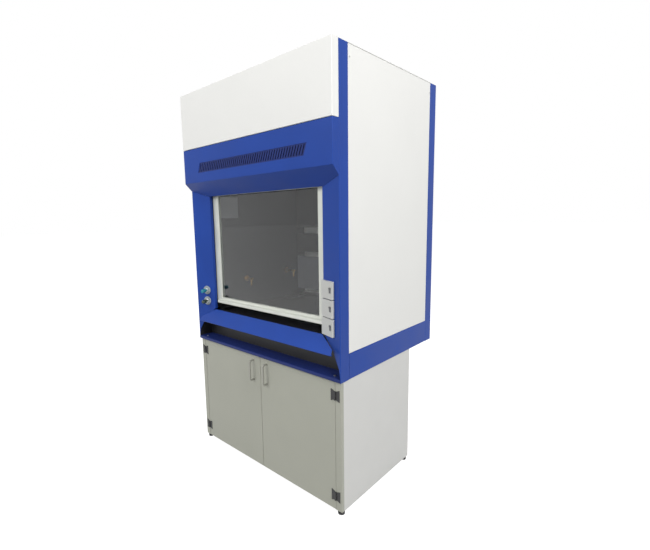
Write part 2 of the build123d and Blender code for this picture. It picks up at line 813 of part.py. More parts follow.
# Counterweight with its cable eye
with BuildPart() as counterweight:
    with BuildSketch(level(weight_head)):
        with Locations((pulley_x + cable_run, deep(cable_y))):
            Rectangle(weight_width, weight_depth)
    extrude(amount=-weight_height)
    chamfer(counterweight.edges().filter_by(Axis.Z), length=weight_corner)
    with BuildSketch(level(weight_head)):
        with Locations((pulley_x + cable_run, deep(cable_y))):
            Circle(weight_eye_radius)
    extrude(amount=weight_eye)
keep_pair(counterweight, "counterweight")

# Cable from the sash over the pulley to the weight
with BuildPart() as sash_cable:
    with BuildLine() as cable_line:
        inner_x, outer_x, y = pulley_x - cable_run, pulley_x + cable_run, deep(cable_y)
        Line((inner_x, y, hanger_top), (inner_x, y, pulley_z))
        ThreePointArc((inner_x, y, pulley_z), (pulley_x, y, pulley_z + cable_run), (outer_x, y, pulley_z))
        Line((outer_x, y, pulley_z), (outer_x, y, weight_head + weight_eye))
    with BuildSketch(level(hanger_top)):
        with Locations((inner_x, y)):
            RegularPolygon(cable_radius, 6)
    sweep(path=cable_line.line)
keep_pair(sash_cable, "sash_cable")


# Front-control valve: escutcheon on the bevel, neck through it, hexagonal body and inlet behind
def valve(name):
    height = valve_heights[name]
    face = bevel_plane(valve_x, height, -1)
    turn = inlet_turns[name]
    with BuildPart() as body:
        with BuildSketch(face):
            Circle(escutcheon_radius)
        extrude(amount=escutcheon_thick)
        chamfer(body.faces().sort_by(Axis.Y)[0].edges(), length=escutcheon_edge)
        with BuildSketch(face):
            Circle(valve_neck_radius)
        extrude(amount=-sheet - fit)
        with BuildSketch(face.offset(-sheet - fit)):
            RegularPolygon(valve_body_flat, 6, major_radius=False)
        extrude(amount=-valve_body_length)
        inlet = face.offset(-inlet_setback).origin
        with BuildSketch(level(height)):
            with Locations((inlet.X, inlet.Y)):
                Circle(inlet_radius)
        extrude(amount=turn * (valve_body_flat + inlet_length))
        with BuildSketch(face.offset(escutcheon_thick)):
            Circle(spindle_radius + running)
        extrude(amount=-spindle_length, mode=Mode.SUBTRACT)
    return body


# Fluted knob on its spindle, turning in the valve
def knob(name):
    seat = bevel_plane(valve_x, valve_heights[name], -1, out=escutcheon_thick + knob_gap)
    with BuildPart() as grip:
        with BuildSketch(seat.offset(knob_skirt_length)):
            Circle(knob_radius)
            with PolarLocations(knob_flute_offset, knob_flutes):
                Circle(knob_flute_radius, mode=Mode.SUBTRACT)
        extrude(amount=knob_length - knob_skirt_length)
        chamfer(grip.faces().sort_by(Axis.Y)[0].edges(), length=knob_edge)
        with BuildSketch(seat):
            Circle(knob_skirt_radius)
        extrude(amount=knob_skirt_length)
        with BuildSketch(seat):
            Circle(spindle_radius)
        extrude(amount=-(spindle_length - spindle_end_gap + knob_gap))
    return grip


with BuildPart() as service_valves:
    for name in valve_heights:
        add(valve(name).part)
keep(service_valves, "service_valves")
for name in valve_heights:
    keep(knob(name), f"service_knob_{name}")


# Hose outlet on the chamber's left wall: a six-sided barrel with a turned-down nozzle
def outlet(name):
    y, z, reach = deep(outlet_y[name]), outlet_heights[name], outlet_reach[name]
    nozzle_x = -liner_half + reach - nozzle_setback
    with BuildPart() as fitting:
        for radius, reach_out in ((outlet_flange_radius, outlet_flange), (inlet_radius, -outlet_tail)):
            with BuildSketch(crosswise(-liner_half)):
                with Locations((y, z)):
                    Circle(radius)
            extrude(amount=reach_out)
        with BuildSketch(crosswise(-liner_half)):
            with Locations((y, z)):
                RegularPolygon(outlet_barrel_radius, 6)
        extrude(amount=reach)
        for radius, drop in ((nozzle_radius, nozzle_drop), (hose_radius, nozzle_drop + hose_length)):
            with BuildSketch(level(z)):
                with Locations((nozzle_x, y)):
                    Circle(radius)
            extrude(amount=-drop)
    return fitting


# Eight-sided pipe with square elbows from the valve body to the outlet's tail
def pipe(name):
    valve_end = bevel_plane(valve_x, valve_heights[name], -1).offset(-sheet - fit - valve_body_length)
    turn = valve_end.offset(-pipe_stub).origin
    end_y, end_z = deep(outlet_y[name]), outlet_heights[name]
    with BuildPart() as tube:
        with BuildLine() as route:
            Polyline(valve_end.origin, turn, (turn.X, end_y, end_z), (-liner_half - outlet_tail, end_y, end_z))
        with BuildSketch(valve_end):
            RegularPolygon(inlet_radius - fit, 8)
        sweep(path=route.wires()[0], transition=Transition.RIGHT)
    return tube


with BuildPart() as service_outlets:
    for name in valve_heights:
        add(outlet(name).part)
keep(service_outlets, "service_outlets")
with BuildPart() as service_pipes:
    for name in valve_heights:
        add(pipe(name).part)
keep(service_pipes, "service_pipes")

# Three power plates on the right bevel, each with a rocker switch
plate_heights = {"top": plate_middle + plate_pitch, "middle": plate_middle, "bottom": plate_middle - plate_pitch}


def plate(height):
    face = bevel_plane(plate_x, height, 1)
    with BuildPart() as cover:
        with BuildSketch(face):
            Rectangle(plate_width, plate_height)
        extrude(amount=plate_thick)
        chamfer(cover.faces().sort_by(Axis.Y)[0].edges(), length=plate_edge)
        with BuildSketch(face.offset(plate_thick)):
            with Locations((rocker_offset, 0)):
                Rectangle(rocker_width + 2 * rocker_gap, rocker_height + 2 * rocker_gap)
        extrude(amount=-plate_thick + sheet, mode=Mode.SUBTRACT)
    return cover


# Rocker: a shallow V in side view, pivoting about its middle and resting pressed at one end
def rocker(height):
    face = bevel_plane(plate_x, height, 1, out=plate_thick)
    side_plane = Plane(origin=face.origin + face.x_dir * (rocker_offset - rocker_width / 2),
                       x_dir=face.z_dir.rotate(Axis((0, 0, 0), face.x_dir), rocker_tilt), z_dir=face.x_dir)
    tall = rocker_height / 2 - rocker_end_gap
    with BuildPart() as key:
        with BuildSketch(side_plane):
            polygon([(-rocker_depth, -tall * rocker_taper), (rocker_rim, -tall), (rocker_rise, -tall),
                     (rocker_dip, 0), (rocker_rise, tall), (rocker_rim, tall),
                     (-rocker_depth, tall * rocker_taper)])
        extrude(amount=rocker_width)
    return key


with BuildPart() as outlet_plates:
    for height in plate_heights.values():
        add(plate(height).part)
keep(outlet_plates, "outlet_plates")
for name, height in plate_heights.items():
    keep(rocker(height), f"rocker_{name}")

# Base cabinet
with BuildPart() as cabinet_side:
    with BuildSketch(level(cabinet_foot)):
        span(cabinet_half - board, deep(cabinet_front + board), cabinet_half, deep(cabinet_front + cabinet_depth))
    extrude(amount=hood_foot - cabinet_foot)
keep_pair(cabinet_side, "cabinet_side")

with BuildPart() as cabinet_back:
    with BuildSketch(level(cabinet_foot)):
        back_y = deep(cabinet_front + cabinet_depth)
        span(-cabinet_half + board, back_y - back_board, cabinet_half - board, back_y)
    extrude(amount=hood_foot - cabinet_foot)
keep(cabinet_back, "cabinet_back")

with BuildPart() as cabinet_floor:
    with BuildSketch(level(cabinet_foot)):
        span(-cabinet_half + board, deep(cabinet_front + board), cabinet_half - board,
             deep(cabinet_front + cabinet_depth - back_board))
    extrude(amount=board)
keep(cabinet_floor, "cabinet_floor")

with BuildPart() as cabinet_frame:
    with BuildSketch(upright(cabinet_front + board)):
        inner = cabinet_half - frame_stile
        span(-cabinet_half, cabinet_foot, cabinet_half, hood_foot)
        span(-inner, cabinet_foot, inner, hood_foot - frame_head, mode=Mode.SUBTRACT)
    extrude(amount=board)
    uprights = cabinet_frame.edges().filter_by(Axis.Z).group_by(Axis.Y)[0].sort_by(Axis.X)
    fillet([uprights[0], uprights[-1]], radius=frame_edge)
keep(cabinet_frame, "cabinet_frame")

# Doors between the stiles, as tall as the cabinet, hung on black surface hinges
with BuildPart() as door:
    with BuildSketch(upright(cabinet_front + door_thick)):
        span(door_gap / 2, cabinet_foot, door_edge, hood_foot - frame_head - door_gap)
    extrude(amount=door_thick)
    chamfer(door.faces().sort_by(Axis.Y)[0].edges(), length=frame_edge)
keep_pair(door, "door")

with BuildPart() as handle:
    face_y = deep(cabinet_front)
    with BuildLine() as bow:
        FilletPolyline((handle_x, face_y, handle_foot), (handle_x, face_y - handle_reach, handle_foot),
                       (handle_x, face_y - handle_reach, handle_head), (handle_x, face_y, handle_head),
                       radius=handle_bend)
    with BuildSketch(Plane.XZ.offset(-face_y)):
        with Locations((handle_x, handle_foot)):
            Rectangle(handle_width, handle_thick)
    sweep(path=bow.line)
keep_pair(handle, "handle")


# Leaf outline, broader at its free edge
def leaf_shape(near, far, middle_z):
    waist, tip = knuckle_height * 1.5, hinge_height / 2
    polygon([(near, middle_z - waist), (far, middle_z - tip), (far, middle_z + tip), (near, middle_z + waist)])


# One leaf of a hinge: two knuckles and the pin on the frame, one bored knuckle on the door
def hinge_leaf(middle_z, on_door):
    hand = -1 if on_door else 1
    near = hinge_axis_x + hand * (knuckle_radius + knuckle_gap)
    middles = [0] if on_door else [-knuckle_height, knuckle_height]
    with BuildPart() as leaf:
        with BuildSketch(upright(cabinet_front)):
            leaf_shape(near, hinge_axis_x + hand * leaf_width, middle_z)
        extrude(amount=leaf_thick)
        for middle in middles:
            with BuildSketch(level(middle_z + middle - knuckle_height / 2 + knuckle_gap / 2)):
                with Locations((hinge_axis_x, deep(hinge_axis_y))):
                    Circle(knuckle_radius)
                span(hinge_axis_x, deep(cabinet_front - leaf_thick), near + hand * leaf_thick, deep(cabinet_front))
            extrude(amount=knuckle_height - knuckle_gap)
        with BuildSketch(level(middle_z - 1.5 * knuckle_height + knuckle_gap / 2)):
            with Locations((hinge_axis_x, deep(hinge_axis_y))):
                Circle(hinge_pin_radius + (running if on_door else 0))
        extrude(amount=3 * knuckle_height - knuckle_gap, mode=Mode.SUBTRACT if on_door else Mode.ADD)
    return leaf


with BuildPart() as door_hinges:
    for middle_z in hinge_heights:
        add(hinge_leaf(middle_z, True).part)
keep_pair(door_hinges, "door_hinge")

with BuildPart() as frame_hinges:
    for middle_z in hinge_heights:
        add(hinge_leaf(middle_z, False).part)
keep(both_sides(frame_hinges), "frame_hinges")

# Levelling feet under the cabinet's corners
with BuildPart() as foot:
    middle = (cabinet_half - foot_inset, deep(cabinet_front + foot_inset))
    with BuildSketch(level(0)):
        with Locations(middle):
            Circle(foot_radius)
    extrude(amount=foot_thick)
    with BuildSketch(level(foot_thick)):
        with Locations(middle):
            RegularPolygon(foot_stem, 6)
    extrude(amount=cabinet_foot - foot_thick)
with BuildPart() as levelling_feet:
    add(foot.part)
    mirror(foot.part, about=Plane.YZ)
    mirror(about=upright(cabinet_front + cabinet_depth / 2))
keep(levelling_feet, "levelling_feet")

# Round-headed screws of the side panels and bolts on the ledge
with BuildPart() as screws:
    for y in side_screw_y:
        with BuildSketch(crosswise(half - side_recess)):
            with Locations((deep(y), side_screw_z)):
                Circle(screw_radius)
        extrude(amount=screw_head)
    with BuildSketch(level(ledge_top)):
        with Locations((half - ledge_bolt_inset, deep(ledge_bolt_y))):
            RegularPolygon(ledge_bolt_radius, 6)
    extrude(amount=ledge_bolt_height)
keep(both_sides(screws), "screws")

# Access cover on the left wall of the chamber
with BuildPart() as liner_cover:
    with BuildSketch(crosswise(-liner_half)):
        with Locations((deep(cover_y), worktop_top + cover_rise)):
            Rectangle(cover_length, cover_height)
    extrude(amount=sheet)
keep(liner_cover, "liner_cover")
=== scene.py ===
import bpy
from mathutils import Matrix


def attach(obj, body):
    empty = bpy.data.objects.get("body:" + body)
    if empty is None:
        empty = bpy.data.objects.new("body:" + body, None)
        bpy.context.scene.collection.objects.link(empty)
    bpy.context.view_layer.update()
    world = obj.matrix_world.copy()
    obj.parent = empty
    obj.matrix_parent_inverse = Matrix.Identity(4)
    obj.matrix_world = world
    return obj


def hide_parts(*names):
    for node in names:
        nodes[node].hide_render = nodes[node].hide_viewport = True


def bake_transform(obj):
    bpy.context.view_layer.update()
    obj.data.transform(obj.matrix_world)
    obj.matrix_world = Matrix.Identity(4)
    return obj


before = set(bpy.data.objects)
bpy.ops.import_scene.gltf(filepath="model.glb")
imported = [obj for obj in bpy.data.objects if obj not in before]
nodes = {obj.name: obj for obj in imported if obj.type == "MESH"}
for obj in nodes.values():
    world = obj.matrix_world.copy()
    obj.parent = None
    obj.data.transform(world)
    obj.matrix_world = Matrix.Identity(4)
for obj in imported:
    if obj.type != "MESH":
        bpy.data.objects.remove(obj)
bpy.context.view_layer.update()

import math

import bmesh
import bpy
from mathutils import Matrix, Vector

scene = bpy.context.scene
print("frame loaded:", len(nodes), "nodes")


# Meshes

def placed(bm, where):  # moves everything in a bmesh to its place on the hood
    bmesh.ops.transform(bm, matrix=where, verts=bm.verts)
    return bm


def facing(origin, normal, up=(0, 0, 1)):  # local z along the normal, local y near up
    zAxis = Vector(normal).normalized()
    xAxis = Vector(up).cross(zAxis).normalized()
    yAxis = zAxis.cross(xAxis)
    turn = Matrix((xAxis, yAxis, zAxis)).transposed().to_4x4()
    return Matrix.Translation(Vector(origin)) @ turn


def turned(profile, steps=32):  # lathe work: (radius, height) points spun round z
    bm = bmesh.new()
    ring = [bm.verts.new((radius, 0, height)) for radius, height in profile]
    for first, second in zip(ring, ring[1:]):
        bm.edges.new((first, second))
    bmesh.ops.spin(bm, geom=bm.verts[:] + bm.edges[:], cent=(0, 0, 0), axis=(0, 0, 1),
                   angle=math.tau, steps=steps, use_merge=True)
    bmesh.ops.remove_doubles(bm, verts=bm.verts, dist=1e-6)
    bmesh.ops.recalc_face_normals(bm, faces=bm.faces)
    return bm


def block(size, round=0.0, segments=2):  # rounded box about the origin
    bm = bmesh.new()
    bmesh.ops.create_cube(bm, size=1)
    bmesh.ops.scale(bm, vec=size, verts=bm.verts)
    if round:
        bmesh.ops.bevel(bm, geom=bm.edges, offset=round, segments=segments, affect="EDGES",
                        profile=0.5, material=-1)
    return bm


def together(*parts):  # several bmeshes as one
    whole = bmesh.new()
    for part in parts:
        mesh = bpy.data.meshes.new("part")
        part.to_mesh(mesh)
        part.free()
        whole.from_mesh(mesh)
        bpy.data.meshes.remove(mesh)
    return whole


def piece(name, bm, material, body="hood", smooth=35, stands=()):
    mesh = bpy.data.meshes.new(name)
    bm.to_mesh(mesh)
    bm.free()
    mesh.shade_smooth()
    mesh.set_sharp_from_angle(angle=math.radians(smooth))
    mesh.materials.append(material)
    made = bpy.data.objects.new(name, mesh)
    scene.collection.objects.link(made)
    if body:
        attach(made, body)
    if stands:
        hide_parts(*stands)
    return made


# Materials

def blank(name):
    material = bpy.data.materials.new(name)
    material.use_nodes = True
    return material, material.node_tree, material.node_tree.nodes["Principled BSDF"]


def noise(tree, scale, detail=2.0, stretch=(1, 1, 1)):  # noise on the object's own coordinates
    place = tree.nodes.new("ShaderNodeTexCoord")
    mapping = tree.nodes.new("ShaderNodeMapping")
    mapping.inputs["Scale"].default_value = stretch
    texture = tree.nodes.new("ShaderNodeTexNoise")
    texture.inputs["Scale"].default_value = scale
    texture.inputs["Detail"].default_value = detail
    tree.links.new(place.outputs["Object"], mapping.inputs["Vector"])
    tree.links.new(mapping.outputs["Vector"], texture.inputs["Vector"])
    return texture.outputs["Fac"]


def ramp(tree, source, stops):  # stops are (place, colour) pairs
    node = tree.nodes.new("ShaderNodeValToRGB")
    elements = node.color_ramp.elements
    for element, (place, color) in ((elements[0], stops[0]), (elements[1], stops[-1])):
        element.position = place
        element.color = (*color, 1)
    for place, color in stops[1:-1]:
        elements.new(place).color = (*color, 1)
    tree.links.new(source, node.inputs["Fac"])
    return node.outputs["Color"]


def shade(color, factor):
    return tuple(min(1.0, part * factor) for part in color)


def spread(tree, source, low, high):  # a noise read between two values
    node = tree.nodes.new("ShaderNodeMapRange")
    node.inputs["From Min"].default_value = 0.3
    node.inputs["From Max"].default_value = 0.7
    node.inputs["To Min"].default_value = low
    node.inputs["To Max"].default_value = high
    tree.links.new(source, node.inputs["Value"])
    return node.outputs["Result"]


def relief(tree, shader, source, depth, strength=1.0):
    node = tree.nodes.new("ShaderNodeBump")
    node.inputs["Distance"].default_value = depth
    node.inputs["Strength"].default_value = strength
    tree.links.new(source, node.inputs["Height"])
    tree.links.new(node.outputs["Normal"], shader.inputs["Normal"])


def powderCoat(name, look):  # sprayed paint: slight mottle, orange peel, handled patches
    material, tree, shader = blank(name)
    broad = noise(tree, look["mottleScale"], 4)
    peel = noise(tree, look["peelScale"], 2)
    low, high = 1 - look["mottle"], 1 + look["mottle"]
    color = ramp(tree, broad, [(0.3, shade(look["color"], low)), (0.7, shade(look["color"], high))])
    tree.links.new(color, shader.inputs["Base Color"])
    roughness = spread(tree, broad, look["rough"] - 0.05, look["rough"] + 0.06)
    tree.links.new(roughness, shader.inputs["Roughness"])
    relief(tree, shader, peel, look["peelDepth"])
    shader.inputs["Specular IOR Level"].default_value = look.get("shine", 0.5)
    return material


def plastic(name, look):  # moulded plastic with a fine grain
    material, tree, shader = blank(name)
    grain = noise(tree, look["grainScale"], 3)
    color = ramp(tree, grain, [(0.25, shade(look["color"], 0.92)), (0.75, shade(look["color"], 1.06))])
    tree.links.new(color, shader.inputs["Base Color"])
    roughness = spread(tree, grain, look["rough"] - 0.05, look["rough"] + 0.05)
    tree.links.new(roughness, shader.inputs["Roughness"])
    relief(tree, shader, grain, look["grainDepth"])
    return material


def metal(name, look):  # drawn or brushed metal, its grain stretched along one axis
    material, tree, shader = blank(name)
    grain = noise(tree, look["grainScale"], 4, look["stretch"])
    broad = noise(tree, 9, 3)
    color = ramp(tree, grain, [(0.3, shade(look["color"], 0.88)), (0.7, shade(look["color"], 1.06))])
    tree.links.new(color, shader.inputs["Base Color"])
    roughness = spread(tree, broad, look["rough"] - 0.06, look["rough"] + 0.08)
    tree.links.new(roughness, shader.inputs["Roughness"])
    relief(tree, shader, grain, look["grainDepth"])
    shader.inputs["Metallic"].default_value = look.get("metallic", 1.0)
    return material


def laminate(name, look):  # pressed board: fine crystal texture and faint clouding
    material, tree, shader = blank(name)
    cloud = noise(tree, look["cloudScale"], 5)
    crystal = noise(tree, look["crystalScale"], 2)
    low, high = 1 - look["cloud"], 1 + look["cloud"]
    color = ramp(tree, cloud, [(0.3, shade(look["color"], low)), (0.7, shade(look["color"], high))])
    tree.links.new(color, shader.inputs["Base Color"])
    roughness = spread(tree, crystal, look["rough"] - 0.08, look["rough"] + 0.08)
    tree.links.new(roughness, shader.inputs["Roughness"])
    relief(tree, shader, crystal, look["crystalDepth"])
    return material


def resin(name, look):  # cast epoxy top: dark, with fine grey and black flecks
    material, tree, shader = blank(name)
    fleck = noise(tree, look["fleckScale"], 3)
    dark, pale = shade(look["color"], 0.7), shade(look["color"], 1.9)
    color = ramp(tree, fleck, [(0.35, dark), (0.5, look["color"]), (0.68, pale)])
    tree.links.new(color, shader.inputs["Base Color"])
    tree.links.new(spread(tree, fleck, look["rough"], look["rough"] + 0.15), shader.inputs["Roughness"])
    relief(tree, shader, fleck, look["fleckDepth"])
    return material


def clearGlass(name, look):  # toughened glass, faintly grey, with a trace of smears
    material, tree, shader = blank(name)
    smear = noise(tree, look["smearScale"], 5, look["smearStretch"])
    roughness = spread(tree, smear, look["rough"], look["rough"] + look["smear"])
    tree.links.new(roughness, shader.inputs["Roughness"])
    shader.inputs["Base Color"].default_value = (*look["color"], 1)
    shader.inputs["Transmission Weight"].default_value = 1.0
    shader.inputs["IOR"].default_value = look["ior"]
    shader.inputs["Specular IOR Level"].default_value = look["shine"]
    return material


finishes = {
    "bluePaint": {"color": (0.014, 0.056, 0.31), "rough": 0.42, "mottle": 0.05, "mottleScale": 5,
                  "peelScale": 420, "peelDepth": 0.00005, "shine": 0.2},
    # the blue powder coat darkened to navy as painted shade, for the ledge under the sill and the recessed
    # bypass grille
    "shadedBluePaint": {"color": (0.014, 0.028, 0.145), "rough": 0.45, "mottle": 0.05, "mottleScale": 5,
                  "peelScale": 420, "peelDepth": 0.00005, "shine": 0.2},
    "whitePaint": {"color": (0.80, 0.80, 0.775), "rough": 0.45, "mottle": 0.012, "mottleScale": 3,
                   "peelScale": 420, "peelDepth": 0.00005},
    "blackPaint": {"color": (0.022, 0.022, 0.023), "rough": 0.5, "mottle": 0.1, "mottleScale": 12,
                   "peelScale": 500, "peelDepth": 0.00004},
    "linerBoard": {"color": (0.062, 0.064, 0.072), "rough": 0.5, "cloud": 0.05, "cloudScale": 4,
                   "crystalScale": 700, "crystalDepth": 0.00004},
    "darkBoard": {"color": (0.030, 0.031, 0.034), "rough": 0.5, "cloud": 0.05, "cloudScale": 4,
                  "crystalScale": 700, "crystalDepth": 0.00004},
    "paleBoard": {"color": (0.20, 0.205, 0.235), "rough": 0.5, "cloud": 0.04, "cloudScale": 4,
                  "crystalScale": 700, "crystalDepth": 0.00004},
    "coverPlastic": {"color": (0.42, 0.43, 0.46), "rough": 0.4, "grainScale": 600, "grainDepth": 0.00003},
    "doorBoard": {"color": (0.40, 0.405, 0.345), "rough": 0.5, "cloud": 0.02, "cloudScale": 5,
                  "crystalScale": 600, "crystalDepth": 0.00006},
    "sideBoard": {"color": (0.66, 0.66, 0.64), "rough": 0.5, "cloud": 0.015, "cloudScale": 5,
                  "crystalScale": 600, "crystalDepth": 0.00006},
    "blackPlastic": {"color": (0.018, 0.018, 0.019), "rough": 0.55, "grainScale": 500,
                     "grainDepth": 0.00005},
    "plateWhite": {"color": (0.56, 0.565, 0.54), "rough": 0.35, "grainScale": 500, "grainDepth": 0.00002},
    "plateGrey": {"color": (0.12, 0.125, 0.13), "rough": 0.4, "grainScale": 500, "grainDepth": 0.00002},
    "discGrey": {"color": (0.30, 0.345, 0.37), "rough": 0.3, "grainScale": 400, "grainDepth": 0.00002},
    "teal": {"color": (0.010, 0.23, 0.31), "rough": 0.32, "grainScale": 400, "grainDepth": 0.00003},
    "darkGreen": {"color": (0.034, 0.056, 0.038), "rough": 0.32, "grainScale": 400, "grainDepth": 0.00003},
    "sashAluminium": {"color": (0.66, 0.68, 0.62), "rough": 0.5, "grainScale": 300,
                      "stretch": (0.02, 1, 0.02), "grainDepth": 0.00002, "metallic": 0.35},
    "satinNickel": {"color": (0.34, 0.34, 0.30), "rough": 0.5, "grainScale": 400, "stretch": (1, 1, 0.05),
                    "grainDepth": 0.00002, "metallic": 0.4},
    "steel": {"color": (0.62, 0.62, 0.61), "rough": 0.32, "grainScale": 400, "stretch": (1, 1, 0.05),
              "grainDepth": 0.00002},
    "iron": {"color": (0.12, 0.12, 0.12), "rough": 0.6, "grainScale": 150, "stretch": (1, 1, 1),
             "grainDepth": 0.0002},
    "brass": {"color": (0.55, 0.36, 0.14), "rough": 0.3, "grainScale": 400, "stretch": (0.1, 1, 1),
              "grainDepth": 0.00002},
    "copper": {"color": (0.60, 0.28, 0.16), "rough": 0.35, "grainScale": 300, "stretch": (1, 0.1, 1),
               "grainDepth": 0.00002},
    "worktopResin": {"color": (0.016, 0.016, 0.018), "rough": 0.35, "fleckScale": 260,
                     "fleckDepth": 0.00005},
    "glass": {"color": (0.86, 0.88, 0.88), "rough": 0.01, "smear": 0.03, "smearScale": 9,
              "smearStretch": (1, 1, 0.4), "ior": 1.46, "shine": 0.2},
}
bluePaint = powderCoat("blue powder coat", finishes["bluePaint"])
shadedBluePaint = powderCoat("blue powder coat in painted shade", finishes["shadedBluePaint"])
whitePaint = powderCoat("white powder coat", finishes["whitePaint"])
blackPaint = powderCoat("black paint", finishes["blackPaint"])
linerBoard = laminate("chamber liner board", finishes["linerBoard"])
darkBoard = laminate("dark baffle board", finishes["darkBoard"])
paleBoard = laminate("pale baffle board", finishes["paleBoard"])
coverPlastic = plastic("access cover plastic", finishes["coverPlastic"])
doorBoard = laminate("door laminate", finishes["doorBoard"])
sideBoard = laminate("side laminate", finishes["sideBoard"])
blackPlastic = plastic("black plastic", finishes["blackPlastic"])
plateWhite = plastic("power plate plastic", finishes["plateWhite"])
plateGrey = plastic("rocker plastic", finishes["plateGrey"])
discGrey = plastic("escutcheon plastic", finishes["discGrey"])
teal = plastic("teal knob plastic", finishes["teal"])
darkGreen = plastic("green knob plastic", finishes["darkGreen"])
sashAluminium = metal("satin sash aluminium", finishes["sashAluminium"])
satinNickel = metal("satin nickel", finishes["satinNickel"])
steel = metal("brushed steel", finishes["steel"])
iron = metal("cast iron", finishes["iron"])
brass = metal("brass", finishes["brass"])
copper = metal("copper tube", finishes["copper"])
worktopResin = resin("worktop resin", finishes["worktopResin"])
glass = clearGlass("sash glass", finishes["glass"])
print("materials made")

wearing = {
    bluePaint: ["front_post_left", "front_post_right", "rear_post_left", "rear_post_right",
                "side_rail_left", "side_rail_right", "fascia", "sill"],
    # the ledge and the bypass grille wear the blue darkened to navy: painted shade
    shadedBluePaint: ["ledge", "bypass_grille"],
    whitePaint: ["side_panel_left", "side_panel_right", "rear_panel", "roof_panel", "upper_front_panel",
                 "lamp_housing"],
    blackPaint: ["recess_panel", "frame_hinges", "door_hinge_left", "door_hinge_right"],
    linerBoard: ["liner_left", "liner_right", "liner_ceiling"],
    darkBoard: ["baffle_middle", "baffle_upper"],
    paleBoard: ["baffle_lower"],
    coverPlastic: ["liner_cover"],
    doorBoard: ["door_left", "door_right", "cabinet_frame"],
    sideBoard: ["cabinet_side_left", "cabinet_side_right", "cabinet_back", "cabinet_floor"],
    blackPlastic: ["sash_tracks", "levelling_feet", "cup_sink"],
    plateWhite: ["outlet_plates"],
    plateGrey: ["rocker_top", "rocker_middle", "rocker_bottom"],
    discGrey: ["service_valves"],
    teal: ["service_knob_upper"],
    darkGreen: ["service_knob_lower"],
    sashAluminium: ["sash_frame", "pulley_left", "pulley_right"],
    steel: ["exhaust_collar", "pulley_brackets", "sash_cable_left", "sash_cable_right", "screws"],
    satinNickel: ["handle_left", "handle_right"],
    iron: ["counterweight_left", "counterweight_right"],
    brass: ["service_outlets"],
    copper: ["service_pipes"],
    worktopResin: ["worktop"],
    glass: ["sash_glass"],
}
for material, names in wearing.items():
    for name in names:
        mesh = nodes[name].data
        mesh.materials.clear()
        mesh.materials.append(material)
print("nodes dressed")


# Places on the hood

hood = {"half": 0.600, "front": -0.457, "bevelWidth": 0.136, "bevelDepth": 0.044}
bevelSpan = math.hypot(hood["bevelWidth"], hood["bevelDepth"])


def onBevel(x, z, out=0.0):  # a point and the outward normal of a side bevel
    hand = 1 if x > 0 else -1
    normal = Vector((-hand * hood["bevelDepth"], -hood["bevelWidth"], 0)) / bevelSpan
    depth = (hood["half"] - abs(x)) * hood["bevelDepth"] / hood["bevelWidth"]
    return Vector((x, hood["front"] + depth, z)) + normal * out, normal


def crossScrew(radius, height, turn=0.4):  # pan head with a cross recess, seated at z = 0
    bm = turned([(0, 0), (radius, 0), (radius, height * 0.35), (radius * 0.84, height * 0.8),
                 (radius * 0.62, height), (radius * 0.5, height), (radius * 0.44, height * 0.55),
                 (0, height * 0.5)], 24)
    for vert in bm.verts:
        reach = vert.co.xy.length
        if 0 < reach < radius * 0.55:
            step = round(math.degrees(math.atan2(vert.co.y, vert.co.x)) / 15) % 6
            if step in (2, 3, 4):  # between the arms of the cross
                vert.co.xy *= 0.36
    bmesh.ops.rotate(bm, cent=(0, 0, 0), matrix=Matrix.Rotation(turn, 3, "Z"), verts=bm.verts)
    return bm


def screwRow(name, spots, radius, height, material, body="hood", stands=()):  # (place, normal) pairs
    heads = [placed(crossScrew(radius, height, 0.4 + 0.9 * number), facing(*spot, up=steady(spot[1])))
             for number, spot in enumerate(spots)]
    return piece(name, together(*heads), material, body, stands=stands)


def steady(normal):  # an up direction that is never along the normal
    return (0, 1, 0) if abs(normal[2]) > 0.9 else (0, 0, 1)


# Service knobs: fluted grip, bright collar and a raised pointer

knobLook = {"x": -0.520, "upper": 1.054, "lower": 0.983, "out": 0.007, "skirt": 0.0088, "grip": 0.0128,
            "length": 0.048, "flutes": 6, "fluteDepth": 0.12}
collarLook = {"inner": 0.0075, "outer": 0.0118, "rim": 0.0105, "foot": -0.0006, "edge": 0.0022,
              "top": 0.003}
pointerLook = {"size": (0.0014, 0.006, 0.0008), "round": 0.0003, "reach": 0.0062, "rise": 0.99}
for name, color, slot in (("upper", teal, "teal_plastic"), ("lower", darkGreen, "green_plastic")):
    seat, normal = onBevel(knobLook["x"], knobLook[name], knobLook["out"])
    grip, skirt, long = knobLook["grip"], knobLook["skirt"], knobLook["length"]
    body = turned([(0, 0), (skirt, 0), (skirt, long * 0.3), (grip * 0.93, long * 0.36), (grip, long * 0.4),
                   (grip, long * 0.62), (grip * 0.99, long * 0.84), (grip * 0.93, long * 0.95),
                   (grip * 0.80, long), (grip * 0.60, long * 0.995), (0, long * 0.985)], 64)
    for vert in body.verts:  # hollow the flutes into the grip
        radius = math.hypot(vert.co.x, vert.co.y)
        if vert.co.z > long * 0.33 and radius > grip * 0.75:
            angle = math.atan2(vert.co.y, vert.co.x)
            hollow = max(0.0, math.cos(knobLook["flutes"] * angle)) ** 1.5
            vert.co.xy *= 1 - knobLook["fluteDepth"] * hollow
    placed(body, facing(seat, normal))
    piece(f"knob_{name}_grip", body, color, f"knob_{name}", stands=[f"service_knob_{name}"])
    inner, outer, top = collarLook["inner"], collarLook["outer"], collarLook["top"]
    collar = turned([(inner, collarLook["foot"]), (outer, collarLook["foot"]), (outer, collarLook["edge"]),
                     (collarLook["rim"], top), (inner, top), (inner, collarLook["foot"])], 48)
    piece(f"knob_{name}_collar", placed(collar, facing(seat, normal)), steel, f"knob_{name}")
    pointer = block(pointerLook["size"], pointerLook["round"])
    lift = (0, pointerLook["reach"], long * pointerLook["rise"])
    bmesh.ops.translate(pointer, vec=lift, verts=pointer.verts)
    piece(f"knob_{name}_pointer", placed(pointer, facing(seat, normal)), plateWhite,
          f"knob_{name}")
print("knobs made")


# Power plates: four fixing screws on each

